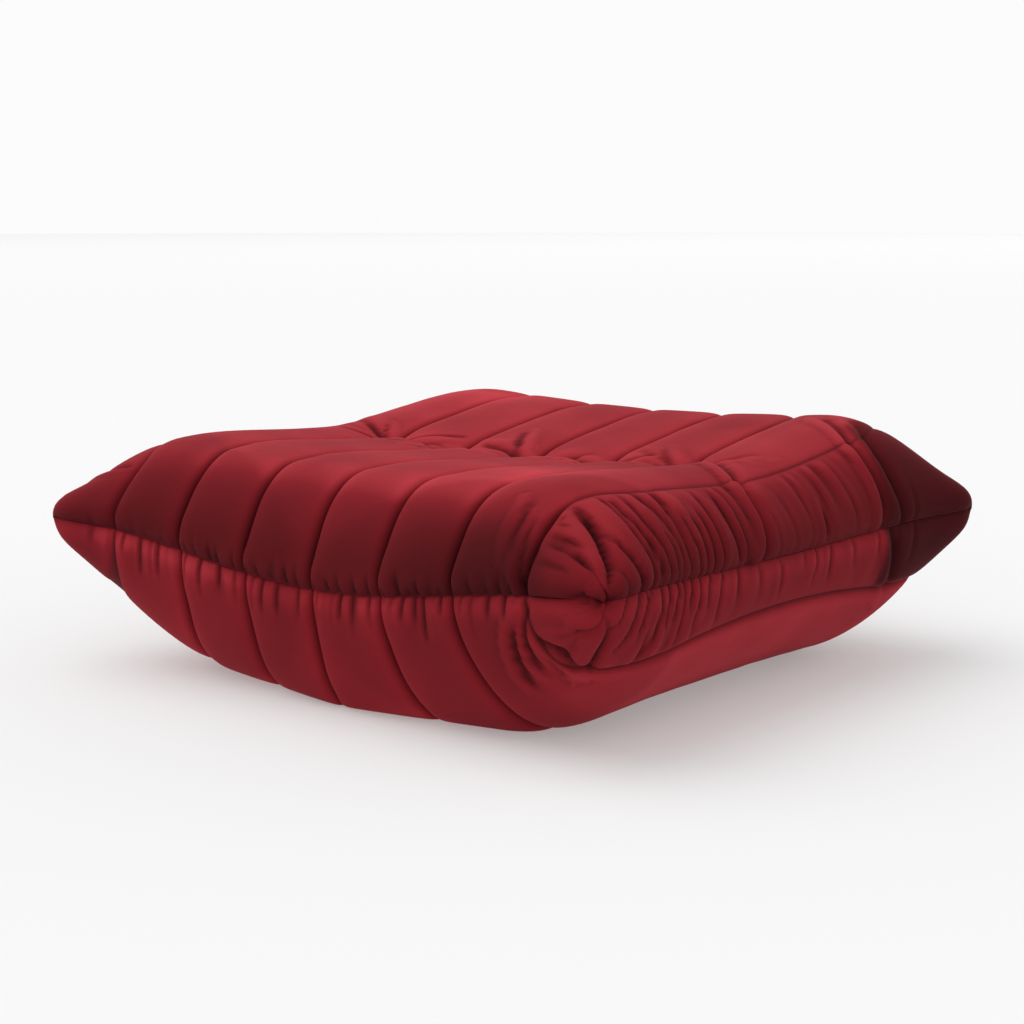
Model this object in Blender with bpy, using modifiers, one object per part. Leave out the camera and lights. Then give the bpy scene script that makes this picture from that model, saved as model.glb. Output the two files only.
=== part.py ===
"""A channel-quilted velvet floor cushion with four pinched corner ears.

The cushion is a pillow of two quilted panels, upper and lower, that meet in a mid seam round its
middle. Metres; X runs across the channels, Y along them, Z up, and the floor is Z = 0 under the
middle of the cushion. The front is -Y.
"""

import math

import bmesh
import bpy
from mathutils import Matrix, Vector

COLLECTION = "floor_cushion"
CUTTERS = "cutters"

# Plan of the mid seam: straight-line size at the ears, and how far each side pulls in between them.
HALF_WIDTH = 0.435
HALF_DEPTH = 0.400
SIDE_HOLLOW_X = 0.0265
SIDE_HOLLOW_Y = 0.0235
HOLLOW_POWER = 0.8

# Height of the mid seam: highest at the ears, it sags between them.
EAR_HEIGHT = 0.1915
FRONT_SAG = 0.0428
SIDE_SAG = 0.008
SAG_POWER = 3

# The upper panel's top: a level, a rise to the two sides and to the rear, a dish along the middle.
TOP_LEVEL = 0.2893
TOP_SIDE_RISE = 0.0119
TOP_REAR_RISE = 0.0106
TOP_RISE_AT = 0.30
DISH_DEPTH = 0.0195
DISH_HALF = 0.25
DISH_POWER = 1.5

# Rounding between each panel's flat and the mid seam, at mid side and at the ears, and how fast the
# one turns into the other towards the ears: (mid x side, mid y side, ear, power x, power y).
UPPER_ROUND = (0.1167, 0.0877, 0.1776, 2.63, 4.70)
LOWER_ROUND = (0.2140, 0.0560, 0.1913, 5.20, 1.20)
LEAST_ROUND = 0.03

# Quilting: seams along Y at this pitch, three each side of the middle one. They fan out from the
# front and rear of the mid seam: by how much, and over which stretch or with which power.
CHANNEL = 0.109
SEAMS_EACH_SIDE = 3
UPPER_FAN = 0.10
UPPER_FAN_START = 0.93
UPPER_FAN_LENGTH = 0.35
LOWER_FAN = 0.21
LOWER_FAN_POWERS = (5, 12)
GROOVE_DEPTH = 0.0135
GROOVE_POWER = 0.6
GROOVE_EDGE = 0.03
GROOVE_FADE_AT_SEAM = 0.35
GROOVE_FADE_AT_FLAT = 0.05

# Mesh steps.
COLUMNS_PER_CHANNEL = 3
EDGE_COLUMNS = 4
ROWS_EACH_SIDE = 8

# Layers, by depth below the velvet's outside.
VELVET = 0.0022
WADDING_OUTSIDE = 0.0026
WADDING_INSIDE = 0.0180
WADDING_FLOOR = 0.0150
FOAM_OUTSIDE = 0.0190
GAP = 0.0004

# Foam blocks, cut from the inner pillow at these heights and depths.
BASE_FOAM_TOP = 0.092
SEAT_FOAM_BOTTOM = 0.172
BOLSTER_INSIDE = 0.200
EAR_CUT = 0.500
BLOCK_GAP = 0.0005
REACH = 0.6

# Tufts on the five middle seams.
TUFT_SEAMS = (-2, -1, 0, 1, 2)
TUFT_Y = 0.015
TWINE_RADIUS = 0.0013
TWINE_HOLE = 0.0028
ANCHOR_RADIUS = 0.014
ANCHOR_THICKNESS = 0.004
ANCHOR_RECESS = 0.003

# Base opening with its closing cloth and zip, all above the floor.
OPENING_HALF_X = 0.140
OPENING_HALF_Y = 0.225
OPENING_CORNER = 0.030
CLOTH_LAP = 0.018
CLOTH_BOTTOM = 0.0154
CLOTH_THICKNESS = 0.0012
CLOTH_INNER_EDGE = 0.0080
TAPE_BOTTOM = 0.0142
TAPE_THICKNESS = 0.0009
TAPE_HALF_WIDTH = 0.0160
TAPE_HALF_LENGTH = 0.2150
ZIP_SLIT = 0.0008
COIL_BOTTOM = 0.0120
COIL_THICKNESS = 0.0019
COIL_OUTER_EDGE = 0.0040
COIL_HALF_LENGTH = 0.2000
STOP_LENGTH = 0.0040
STOP_HALF_WIDTH = 0.0045
STOP_BOTTOM = 0.0114

# Zip slider and pull tab, standing at the rear end of the closed zip.
SLIDER_Y = 0.1935
SLIDER_HALF_LENGTH = 0.0055
SLIDER_HALF_WIDTH = 0.0062
FACE_PLATE = (0.0098, 0.0113)
BACK_PLATE = (0.0155, 0.0166)
BLADE_HALF = 0.0004
FLANGE_INNER = 0.0050
FLANGE_TOP = 0.0128
HINGE_Z = 0.0078
PIN_RADIUS = 0.0008
PIN_HALF_LENGTH = 0.0050
LUG_INNER = 0.0040
LUG_HALF_LENGTH = 0.0013
KNUCKLE_OUTER = 0.0017
KNUCKLE_INNER = 0.0011
TAB_HALF_WIDTH = 0.0034
TAB_LENGTH = 0.0240
TAB_THICKNESS = 0.0013

MATERIALS = {
    "velvet": ((0.300, 0.012, 0.020, 1), 0.75, 0),
    "wadding": ((0.78, 0.77, 0.73, 1), 0.95, 0),
    "firm_foam": ((0.55, 0.57, 0.60, 1), 0.90, 0),
    "core_foam": ((0.80, 0.72, 0.45, 1), 0.90, 0),
    "soft_foam": ((0.85, 0.82, 0.70, 1), 0.90, 0),
    "bolster_foam": ((0.62, 0.70, 0.78, 1), 0.90, 0),
    "fibre": ((0.86, 0.86, 0.84, 1), 0.95, 0),
    "twine": ((0.62, 0.52, 0.38, 1), 0.85, 0),
    "anchor_plastic": ((0.05, 0.05, 0.05, 1), 0.45, 0),
    "base_cloth": ((0.020, 0.018, 0.018, 1), 0.90, 0),
    "zip_tape": ((0.030, 0.012, 0.013, 1), 0.85, 0),
    "zip_coil": ((0.035, 0.014, 0.015, 1), 0.40, 0),
    "zip_metal": ((0.30, 0.29, 0.28, 1), 0.35, 1),
}

MIDDLE_COLUMN = SEAMS_EACH_SIDE * COLUMNS_PER_CHANNEL + EDGE_COLUMNS
COLUMNS = 2 * MIDDLE_COLUMN
ROWS = 2 * ROWS_EACH_SIDE


def clear_scene():
    for obj in list(bpy.data.objects):
        bpy.data.objects.remove(obj, do_unlink=True)


def make_collection(name):
    made = bpy.data.collections.new(name)
    bpy.context.scene.collection.children.link(made)
    return made


def make_material(name):
    colour, roughness, metallic = MATERIALS[name]
    made = bpy.data.materials.new(name)
    made.use_nodes = True
    shader = made.node_tree.nodes["Principled BSDF"]
    shader.inputs["Base Color"].default_value = colour
    shader.inputs["Roughness"].default_value = roughness
    shader.inputs["Metallic"].default_value = metallic
    made.diffuse_color = colour
    return made


def add_object(name, bm, material, smooth_angle=None):
    mesh = bpy.data.meshes.new(name)
    bm.to_mesh(mesh)
    bm.free()
    made = bpy.data.objects.new(name, mesh)
    parts.objects.link(made)
    mesh.materials.append(make_material(material))
    if smooth_angle is not None:
        mesh.shade_smooth()
        mesh.set_sharp_from_angle(angle=math.radians(smooth_angle))
    return made


def add_cutter(name, bm):
    mesh = bpy.data.meshes.new(name)
    bm.to_mesh(mesh)
    bm.free()
    made = bpy.data.objects.new(name, mesh)
    made.hide_render = True
    made.display_type = "WIRE"
    cutters.objects.link(made)
    return made


def boolean(obj, cutter, operation="DIFFERENCE"):
    modifier = obj.modifiers.new(cutter.name, "BOOLEAN")
    modifier.solver = "EXACT"
    modifier.operation = operation
    modifier.object = cutter


def box_mesh(low, high, turn=None):
    """A box between two corners, turned about the Z axis through the origin if asked."""
    low, high = Vector(low), Vector(high)
    matrix = Matrix.Translation((low + high) / 2) @ Matrix.Diagonal((*(high - low), 1))
    if turn is not None:
        matrix = Matrix.Rotation(turn, 4, "Z") @ matrix
    bm = bmesh.new()
    bmesh.ops.create_cube(bm, size=1, matrix=matrix)
    return bm


def cylinder_mesh(radius, low, high, sides, centre=(0, 0), along="Z"):
    """A cylinder from low to high along its axis; centre is its place on the other two axes."""
    bm = bmesh.new()
    bmesh.ops.create_cone(
        bm, cap_ends=True, segments=sides, radius1=radius, radius2=radius, depth=high - low
    )
    middle = (low + high) / 2
    if along == "Z":
        matrix = Matrix.Translation((*centre, middle))
    else:
        matrix = Matrix.Translation((middle, *centre)) @ Matrix.Rotation(math.pi / 2, 4, "Y")
    bmesh.ops.transform(bm, matrix=matrix, verts=bm.verts)
    return bm


def half_width_at(t):
    return HALF_WIDTH - SIDE_HOLLOW_X * math.cos(math.pi * t / 2) ** HOLLOW_POWER


def half_depth_at(s):
    return HALF_DEPTH - SIDE_HOLLOW_Y * math.cos(math.pi * s / 2) ** HOLLOW_POWER


def mid_seam_height(s, t):
    front = FRONT_SAG * math.cos(math.pi * s / 2) ** 2 * abs(t) ** SAG_POWER
    side = SIDE_SAG * math.cos(math.pi * t / 2) ** 2 * abs(s) ** SAG_POWER
    return EAR_HEIGHT - front - side


def top_height(x, y):
    dish = DISH_DEPTH * math.cos(math.pi / 2 * min(abs(y) / DISH_HALF, 1)) ** DISH_POWER
    rise = TOP_SIDE_RISE * (x / TOP_RISE_AT) ** 2 + TOP_REAR_RISE * y / TOP_RISE_AT
    return TOP_LEVEL + rise - dish


def arc_height(distance, radius):
    """Height of a quarter round, 1 on the flat and 0 at its edge, by distance in from the edge."""
    share = min(max(1 - distance / radius, 0), 1)
    return math.sqrt(1 - share * share)


def panel_point(upper, s, t, inset):
    """A point of a panel and its height share, with s across and t along, both from -1 to 1."""
    side_x, side_y, ear, power_x, power_y = UPPER_ROUND if upper else LOWER_ROUND
    wide = half_width_at(t) - inset
    deep = half_depth_at(s) - inset
    x, y = s * wide, t * deep
    round_x = max(side_x + (ear - side_x) * abs(t) ** power_x - inset, LEAST_ROUND)
    round_y = max(side_y + (ear - side_y) * abs(s) ** power_y - inset, LEAST_ROUND)
    share = arc_height(wide - abs(x), round_x) * arc_height(deep - abs(y), round_y)
    seam = mid_seam_height(s, t) + (GAP if upper else -GAP)
    flat = top_height(x, y) - inset if upper else inset
    return Vector((x, y, seam + (flat - seam) * share)), share


def fan_out(upper, right, t):
    """How many times its pitch a quilting seam lies from the middle, by how near the seam's ends."""
    if upper:
        share = min(max((UPPER_FAN_START - abs(t)) / UPPER_FAN_LENGTH, 0), 1)
        return 1 + UPPER_FAN * share * share * (3 - 2 * share)
    return 1 + LOWER_FAN * (1 - abs(t) ** LOWER_FAN_POWERS[right])


def groove_at(upper, s, t):
    """Depth of the quilting groove, 0 on a channel's crown, at the mid seam and on the floor."""
    x = s * half_width_at(t) / fan_out(upper, s > 0, t)
    beyond = abs(x) - SEAMS_EACH_SIDE * CHANNEL
    if beyond > 0:
        shape = max(1 - beyond / GROOVE_EDGE, 0)
    else:
        shape = 1 - abs(math.sin(math.pi * x / CHANNEL)) ** GROOVE_POWER
    share = panel_point(upper, s, t, 0)[1]
    shape *= min(share / GROOVE_FADE_AT_SEAM, 1)
    if not upper:
        shape *= min((1 - share) / GROOVE_FADE_AT_FLAT, 1)
    return GROOVE_DEPTH * shape


def grid_shares(upper, column, row):
    """The s and t of a grid point, with whole columns along the quilting seams."""
    t = math.sin(math.pi / 2 * (row - ROWS_EACH_SIDE) / ROWS_EACH_SIDE)
    step = column - MIDDLE_COLUMN
    seam_steps = SEAMS_EACH_SIDE * COLUMNS_PER_CHANNEL
    pitch = CHANNEL / COLUMNS_PER_CHANNEL * fan_out(upper, step > 0, t)
    inner = min(abs(step), seam_steps) * pitch / half_width_at(t)
    outer = math.sin(math.pi / 2 * max(abs(step) - seam_steps, 0) / EDGE_COLUMNS)
    return math.copysign(inner + (1 - inner) * outer, step), t


def split_tips(verts):
    """Splits the quad at each ear through its tip, so that the ear stays hollow to its end."""
    for tip in [vert for vert in verts if len(vert.link_faces) == 1]:
        face = tip.link_faces[0]
        place = list(face.verts).index(tip)
        bmesh.utils.face_split(face, tip, face.verts[(place + 2) % 4])


def add_surface(bm, upper, inset, grooved):
    """Adds one panel surface at a depth below the outside, facing out, and returns its points."""
    made = bmesh.ops.create_grid(bm, x_segments=COLUMNS, y_segments=ROWS, size=1)["verts"]
    for vert in made:
        column = round((vert.co.x + 1) / 2 * COLUMNS)
        row = round((vert.co.y + 1) / 2 * ROWS)
        s, t = grid_shares(upper, column, row)
        groove = groove_at(upper, s, t) if grooved else 0
        vert.co = panel_point(upper, s, t, inset + groove)[0]
    split_tips(made)
    faces = list({face for vert in made for face in vert.link_faces})
    bmesh.ops.triangulate(bm, faces=faces)
    if not upper:
        faces = list({face for vert in made for face in vert.link_faces})
        bmesh.ops.reverse_faces(bm, faces=faces)
    return made


def join_rims(bm, one, other):
    """Joins the rims of two like surfaces, point to matching point, and faces the shell out."""
    partner = dict(zip(one, other))
    for edge in [edge for edge in bm.edges if edge.is_boundary and edge.verts[0] in partner]:
        start, end = edge.verts
        bm.faces.new((start, end, partner[end], partner[start]))
    bmesh.ops.recalc_face_normals(bm, faces=bm.faces)
    if bm.calc_volume(signed=True) < 0:
        bmesh.ops.reverse_faces(bm, faces=bm.faces)


def add_cover(name, upper):
    """One velvet panel: an open surface, solidified outwards."""
    bm = bmesh.new()
    add_surface(bm, upper, VELVET, True)
    cover = add_object(name, bm, "velvet", 60)
    solidify = cover.modifiers.new("velvet", "SOLIDIFY")
    solidify.thickness = VELVET
    solidify.offset = 1
    return cover


def add_wadding(name, upper):
    """The quilted wadding: thick under each channel's crown and pressed thin at its seams."""
    bm = bmesh.new()
    outer = add_surface(bm, upper, WADDING_OUTSIDE, True)
    inside = WADDING_INSIDE if upper else WADDING_FLOOR
    inner = add_surface(bm, upper, inside, False)
    inner_faces = list({face for vert in inner for face in vert.link_faces})
    bmesh.ops.reverse_faces(bm, faces=inner_faces)
    join_rims(bm, outer, inner)
    return add_object(name, bm, "wadding", 60)


def pillow_mesh(inset):
    """The closed pillow that the foam and the ears' fibre are cut from."""
    bm = bmesh.new()
    top = add_surface(bm, True, inset, False)
    bottom = add_surface(bm, False, inset, False)
    join_rims(bm, top, bottom)
    return bm


def add_base_opening(cover, wadding):
    """Cuts the opening that the base cloth closes through the lower cover and its wadding."""
    depth = FOAM_OUTSIDE
    bm = box_mesh((-OPENING_HALF_X, -OPENING_HALF_Y, -depth), (OPENING_HALF_X, OPENING_HALF_Y, depth))
    upright = [edge for edge in bm.edges if abs(edge.verts[0].co.z - edge.verts[1].co.z) > depth]
    bmesh.ops.bevel(
        bm, geom=upright, offset=OPENING_CORNER, segments=4, profile=0.5, affect="EDGES"
    )
    cutter = add_cutter("base_opening_cutter", bm)
    boolean(cover, cutter)
    boolean(wadding, cutter)


def ear_box(corner, gap):
    """A box over one ear, beyond a plane across it; corner counts quarter turns from front left."""
    turn = math.atan2(-HALF_DEPTH, -HALF_WIDTH) + corner * math.pi / 2
    if corner % 2:
        turn = math.atan2(-HALF_DEPTH, HALF_WIDTH) + (corner - 1) * math.pi / 2
    return box_mesh((EAR_CUT - gap, -REACH, -REACH), (2 * REACH, REACH, REACH), turn)


def add_corner_fill(ear_cutters):
    names = ("front_left", "front_right", "rear_right", "rear_left")
    for corner, name in enumerate(names):
        fill = add_object("corner_fill_" + name, pillow_mesh(FOAM_OUTSIDE), "fibre", 60)
        boolean(fill, add_cutter("ear_cutter_" + name, ear_box(corner, 0)), "INTERSECT")
        ear_cutters.append(add_cutter("ear_clearance_" + name, ear_box(corner, BLOCK_GAP)))


def add_foam(name, material, low, high, holes):
    """One foam block: the inner pillow between two corners, less the holes and the ears."""
    block = add_object(name, pillow_mesh(FOAM_OUTSIDE), material, 30)
    boolean(block, add_cutter(name + "_limits", box_mesh(low, high)), "INTERSECT")
    for cutter in holes:
        boolean(block, cutter)
    return block


def add_foam_blocks(ear_cutters, twine_cutters, recess_cutters):
    gap = BLOCK_GAP
    wall = BOLSTER_INSIDE
    middle = (BASE_FOAM_TOP + gap, SEAT_FOAM_BOTTOM - gap)
    add_foam(
        "base_foam", "firm_foam", (-REACH, -REACH, 0), (REACH, REACH, BASE_FOAM_TOP),
        ear_cutters + recess_cutters,
    )
    add_foam(
        "front_bolster", "bolster_foam", (-REACH, -REACH, middle[0]), (REACH, -wall - gap, middle[1]),
        ear_cutters,
    )
    add_foam(
        "core_foam", "core_foam", (-REACH, -wall, middle[0]), (REACH, wall, middle[1]),
        ear_cutters + twine_cutters,
    )
    add_foam(
        "rear_bolster", "bolster_foam", (-REACH, wall + gap, middle[0]), (REACH, REACH, middle[1]),
        ear_cutters,
    )
    add_foam(
        "seat_foam", "soft_foam", (-REACH, -REACH, SEAT_FOAM_BOTTOM), (REACH, REACH, REACH),
        ear_cutters + twine_cutters,
    )


def add_tufts():
    """Twines through the upper foam, each with an anchor let into the base foam."""
    twine_cutters = []
    recess_cutters = []
    anchor_top = BASE_FOAM_TOP - BLOCK_GAP
    anchor_bottom = anchor_top - ANCHOR_THICKNESS
    for number, seam in enumerate(TUFT_SEAMS, 1):
        centre = (seam * CHANNEL * fan_out(True, True, 0), TUFT_Y)
        share = (centre[0] / half_width_at(0), TUFT_Y / half_depth_at(0))
        top = panel_point(True, *share, FOAM_OUTSIDE)[0].z - TWINE_RADIUS
        twine = cylinder_mesh(TWINE_RADIUS, anchor_top + GAP, top, 8, centre)
        add_object(f"tuft_twine_{number}", twine, "twine", 60)
        anchor = cylinder_mesh(ANCHOR_RADIUS, anchor_bottom, anchor_top, 20, centre)
        disc = add_object(f"tuft_anchor_{number}", anchor, "anchor_plastic", 40)
        bevel = disc.modifiers.new("rounded_rim", "BEVEL")
        bevel.width = ANCHOR_THICKNESS / 4
        bevel.segments = 2
        hole = cylinder_mesh(TWINE_HOLE, BASE_FOAM_TOP, REACH, 8, centre)
        twine_cutters.append(add_cutter(f"twine_hole_{number}", hole))
        recess = cylinder_mesh(
            ANCHOR_RADIUS + ANCHOR_RECESS, anchor_bottom - ANCHOR_RECESS, REACH, 16, centre
        )
        recess_cutters.append(add_cutter(f"anchor_recess_{number}", recess))
    return twine_cutters, recess_cutters


def add_strip(name, side, inner, outer, half_length, bottom, thickness, material):
    """A flat strip along Y on one side of the zip, side -1 being left."""
    low_x, high_x = sorted((side * inner, side * outer))
    bm = box_mesh((low_x, -half_length, bottom), (high_x, half_length, bottom + thickness))
    strip = add_object(name, bm, material)
    bevel = strip.modifiers.new("soft_edge", "BEVEL")
    bevel.width = thickness / 4
    bevel.segments = 1
    return strip


def add_base_closure():
    for side, name in ((-1, "left"), (1, "right")):
        add_strip(
            "base_cloth_" + name, side, CLOTH_INNER_EDGE, OPENING_HALF_X + CLOTH_LAP,
            OPENING_HALF_Y + CLOTH_LAP, CLOTH_BOTTOM, CLOTH_THICKNESS, "base_cloth",
        )
        add_strip(
            "zip_tape_" + name, side, ZIP_SLIT, TAPE_HALF_WIDTH, TAPE_HALF_LENGTH,
            TAPE_BOTTOM, TAPE_THICKNESS, "zip_tape",
        )
        add_strip(
            "zip_coil_" + name, side, ZIP_SLIT, COIL_OUTER_EDGE, COIL_HALF_LENGTH,
            COIL_BOTTOM, COIL_THICKNESS, "zip_coil",
        )
    for end, name in ((-1, "front"), (1, "rear")):
        near = end * (COIL_HALF_LENGTH + GAP)
        low_y, high_y = sorted((near, near + end * STOP_LENGTH))
        bm = box_mesh(
            (-STOP_HALF_WIDTH, low_y, STOP_BOTTOM), (STOP_HALF_WIDTH, high_y, TAPE_BOTTOM - GAP)
        )
        stop = add_object("zip_stop_" + name, bm, "zip_metal")
        bevel = stop.modifiers.new("soft_edge", "BEVEL")
        bevel.width = STOP_LENGTH / 8
        bevel.segments = 2


def add_slider():
    """Two plates held apart by a thin blade in the zip's slit, with a pin for the pull tab."""
    length = SLIDER_HALF_LENGTH
    wide = SLIDER_HALF_WIDTH
    plate = box_mesh((-wide, -length, FACE_PLATE[0]), (wide, length, FACE_PLATE[1]))
    slider = add_object("zip_slider", plate, "zip_metal", 30)
    overlap = PIN_RADIUS / 4
    shapes = {
        "back_plate": ((-wide, -length, BACK_PLATE[0]), (wide, length, BACK_PLATE[1])),
        "blade": (
            (-BLADE_HALF, -length / 2, FACE_PLATE[1] - overlap),
            (BLADE_HALF, length / 2, BACK_PLATE[0] + overlap),
        ),
    }
    for side, name in ((-1, "left"), (1, "right")):
        low_x, high_x = sorted((side * FLANGE_INNER, side * (wide - overlap)))
        shapes["flange_" + name] = (
            (low_x, -length + overlap, FACE_PLATE[1] - overlap),
            (high_x, length - overlap, FLANGE_TOP),
        )
        low_x, high_x = sorted((side * LUG_INNER, side * PIN_HALF_LENGTH))
        shapes["lug_" + name] = (
            (low_x, -LUG_HALF_LENGTH, HINGE_Z - LUG_HALF_LENGTH),
            (high_x, LUG_HALF_LENGTH, FACE_PLATE[0] + overlap),
        )
    for name, corners in shapes.items():
        boolean(slider, add_cutter("slider_" + name, box_mesh(*corners)), "UNION")
    half_pin = (LUG_INNER + PIN_HALF_LENGTH) / 2
    pin = cylinder_mesh(PIN_RADIUS, -half_pin, half_pin, 16, (0, HINGE_Z), "X")
    boolean(slider, add_cutter("slider_pin", pin), "UNION")
    for obj in [slider] + [cutter for cutter in cutters.objects if cutter.name.startswith("slider_")]:
        obj.location.y = SLIDER_Y


def add_pull_tab():
    """A flat tab on a knuckle round the slider's pin, lying along the zip."""
    hinge = bpy.data.objects.new("pull_tab_hinge", None)
    hinge.location = (0, SLIDER_Y, HINGE_Z)
    parts.objects.link(hinge)
    half = TAB_THICKNESS / 2
    start = -(KNUCKLE_INNER + KNUCKLE_OUTER) / 2
    plate = box_mesh((-TAB_HALF_WIDTH, -TAB_LENGTH, -half), (TAB_HALF_WIDTH, start, half))
    tab = add_object("zip_pull_tab", plate, "zip_metal", 30)
    tab.parent = hinge
    knuckle = cylinder_mesh(KNUCKLE_OUTER, -TAB_HALF_WIDTH, TAB_HALF_WIDTH, 20, (0, 0), "X")
    bore = cylinder_mesh(KNUCKLE_INNER, -TAB_LENGTH, TAB_LENGTH, 20, (0, 0), "X")
    grip = cylinder_mesh(
        TAB_HALF_WIDTH / 2, -TAB_LENGTH, TAB_LENGTH, 16, (0, -TAB_LENGTH + TAB_HALF_WIDTH)
    )
    for name, bm, operation in (
        ("tab_knuckle", knuckle, "UNION"),
        ("tab_bore", bore, "DIFFERENCE"),
        ("tab_grip_hole", grip, "DIFFERENCE"),
    ):
        cutter = add_cutter(name, bm)
        cutter.location = hinge.location
        boolean(tab, cutter, operation)


clear_scene()
parts = make_collection(COLLECTION)
cutters = make_collection(CUTTERS)

add_cover("upper_cover", True)
add_wadding("upper_quilt_wadding", True)
add_base_opening(add_cover("lower_cover", False), add_wadding("lower_quilt_wadding", False))
ear_clearances = []
add_corner_fill(ear_clearances)
twine_holes, anchor_recesses = add_tufts()
add_foam_blocks(ear_clearances, twine_holes, anchor_recesses)
add_base_closure()
add_slider()
add_pull_tab()
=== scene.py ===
"""The looks of a channel-quilted velvet floor cushion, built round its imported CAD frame."""

import math

import bmesh
import bpy
import numpy as np
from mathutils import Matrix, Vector
from mathutils.bvhtree import BVHTree


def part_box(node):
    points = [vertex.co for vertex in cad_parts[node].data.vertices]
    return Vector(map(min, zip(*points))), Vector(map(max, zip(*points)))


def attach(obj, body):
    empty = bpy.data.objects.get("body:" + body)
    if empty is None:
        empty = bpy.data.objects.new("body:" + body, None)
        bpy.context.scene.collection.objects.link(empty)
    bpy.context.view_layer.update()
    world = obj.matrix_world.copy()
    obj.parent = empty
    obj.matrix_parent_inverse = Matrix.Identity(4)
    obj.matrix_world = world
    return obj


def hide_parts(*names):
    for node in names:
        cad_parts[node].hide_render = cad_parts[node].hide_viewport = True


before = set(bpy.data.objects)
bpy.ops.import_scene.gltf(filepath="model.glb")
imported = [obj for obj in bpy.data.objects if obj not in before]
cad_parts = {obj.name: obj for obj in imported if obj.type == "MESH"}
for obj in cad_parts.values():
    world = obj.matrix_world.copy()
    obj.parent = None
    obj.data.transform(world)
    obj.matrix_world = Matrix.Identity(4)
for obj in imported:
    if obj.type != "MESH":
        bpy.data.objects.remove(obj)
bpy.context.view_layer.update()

# ---- driving sizes, metres

SEAMS = 7
LAST_SEAM = (SEAMS - 1) // 2
CHANNEL = 0.109
HALF_WIDTH = 0.435
HALF_DEPTH = 0.400
SIDE_HOLLOW_X = 0.0265
SIDE_HOLLOW_Y = 0.0235
HOLLOW_POWER = 0.8
EAR_HEIGHT = 0.1915
FRONT_SAG = 0.0428
SIDE_SAG = 0.008
TOP_LEVEL = 0.2893
TOP_SIDE_RISE = 0.0119
TOP_REAR_RISE = 0.0106
TOP_RISE_AT = 0.30
DISH_DEPTH = 0.0195
DISH_HALF = 0.25
DISH_POWER = 1.5
LEAST_ROUND = 0.03
GAP = 0.0004

# Rounding of each panel towards the mid seam: mid x side, mid y side, ear, power x, power y.
ROUND = {"upper": (0.1167, 0.0877, 0.1776, 2.63, 4.70), "lower": (0.2140, 0.0560, 0.1913, 5.20, 1.20)}
EAR_SPACING = 0.1845

# The quilting seams: how they press in, close by and across a whole channel.
CREASE_DEPTH = 0.0115
CREASE_REACH = 0.0036
CHANNEL_CROWN = 0.0028
TOPSTITCH_DEPTH = {"upper": 0.0014, "lower": 0.0050}
UNDER_SHARE = 0.12
REAR_SOFTENING = 0.45
EAR_SOFTENING = 0.95

# The mid seam sits in a crease under the upper panel's overhang.
MID_CREASE = 0.0010
MID_REACH = 0.010
OVERHANG = {"upper": 0.0070, "lower": 0.0020}
OVERHANG_AT = 0.020

TUFT_Y = 0.015
TUFT_DEPTHS = (0.019, 0.015, 0.021, 0.013, 0.015)
TUFT_REACH = 0.034
TUFT_RAYS = 9
VALLEY_DEPTH = 0.005
VALLEY_REACH = 0.026

# Layers, by depth below the velvet's outside.
VELVET = 0.0018
WADDING_OUTSIDE = 0.0026
WADDING_INSIDE = {"upper": 0.0178, "lower": 0.0150}
LEAST_WADDING = 0.0034
LEAST_FOAM = 0.0050
TIP_HEART = (0.33, 0.30, 0.185)
TIP_DRAW = 0.075
BARE_TIP = 0.055
MOST_PRESSED = 0.0140

# The opening in the base, and what closes it.
OPENING_HALF_X = 0.140
OPENING_HALF_Y = 0.225
OPENING_CORNER = 0.030
BASE_BELOW = 0.03
PIPING = 0.0021
WADDING_BACK = 0.0045
HEM = 0.0003
TAPE_THREAD = 0.00043
ZIP_PITCH = 0.0016
COIL_WIRE = 0.00032

STITCH_PITCH = 0.0042
STITCH_LENGTH = 0.0031
STITCH_RADIUS = 0.00038
TWINE_RADIUS = 0.0011

# By each ear's x and y sides: how far it is drawn out, how far its tip is then tucked in, and which way.
EVEN_TUCK = (0.016, 0.014, (0.72, 0.69, 0.0))
NEAR_RIGHT_TUCK = (0.006, 0.038, (0.60, 0.80, 0.12))
TIP_TUCK = {(1, -1): NEAR_RIGHT_TUCK, (1, 1): EVEN_TUCK, (-1, -1): EVEN_TUCK, (-1, 1): EVEN_TUCK}
TIP_REACH = 0.026
EAR_REACH = 0.070

# The hollow beside the near right tip: centre, depth, radius.
TIP_HOLLOW = ((0.407, -0.396, 0.196), 0.010, 0.018)

# Painted light and shade: patches where the pile is made lighter or darker, by panel, x, y, radius, gain.
PAINTED_LIGHT_PATCHES = (
    ("upper", -0.30, 0.28, 0.15, 0.45), ("upper", 0.19, -0.24, 0.09, 0.28),
    ("upper", 0.27, -0.07, 0.09, -0.26), ("lower", 0.10, -0.28, 0.10, 0.22),
)

FLOOR_CLEARANCE = 0.0003
CHANNEL_COLUMNS = 24
PANEL_ROWS = 241
SEAM_CROWDING = 0.62

# The cloth: its steps on the coarse and the fine grid, what a step does, and its ripples and gathers.
COARSE_STEPS = 200
FINE_STEPS = 90
PRESSURE = 0.00002
STIFFNESS = 0.35
EVENNESS = 0.004
WADDING_SPRING = 0.004
MOST_GIVE = 0.010
DIAGONAL_FIRMNESS = 0.15
STRIP_RIPPLE = 0.0030
CHANNEL_RIPPLE = 0.0016
STRIP_GATHER = {"upper": 0.13, "lower": 0.09}
SEAM_GATHER = 0.055
CHANNEL_GATHER = 0.010


# ---- small tools


def ramp(value, zero_at, width):
    """A smooth rise from 0 to 1 over a width, which is below zero where it rises towards lower values."""
    share = ((value - zero_at) / width).clip(0, 1)
    return share * share * (3 - 2 * share)


def bell(distance, width):
    return np.exp(-((distance / width) ** 2))


def lengths(vectors):
    return np.linalg.norm(vectors, axis=-1)


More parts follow.
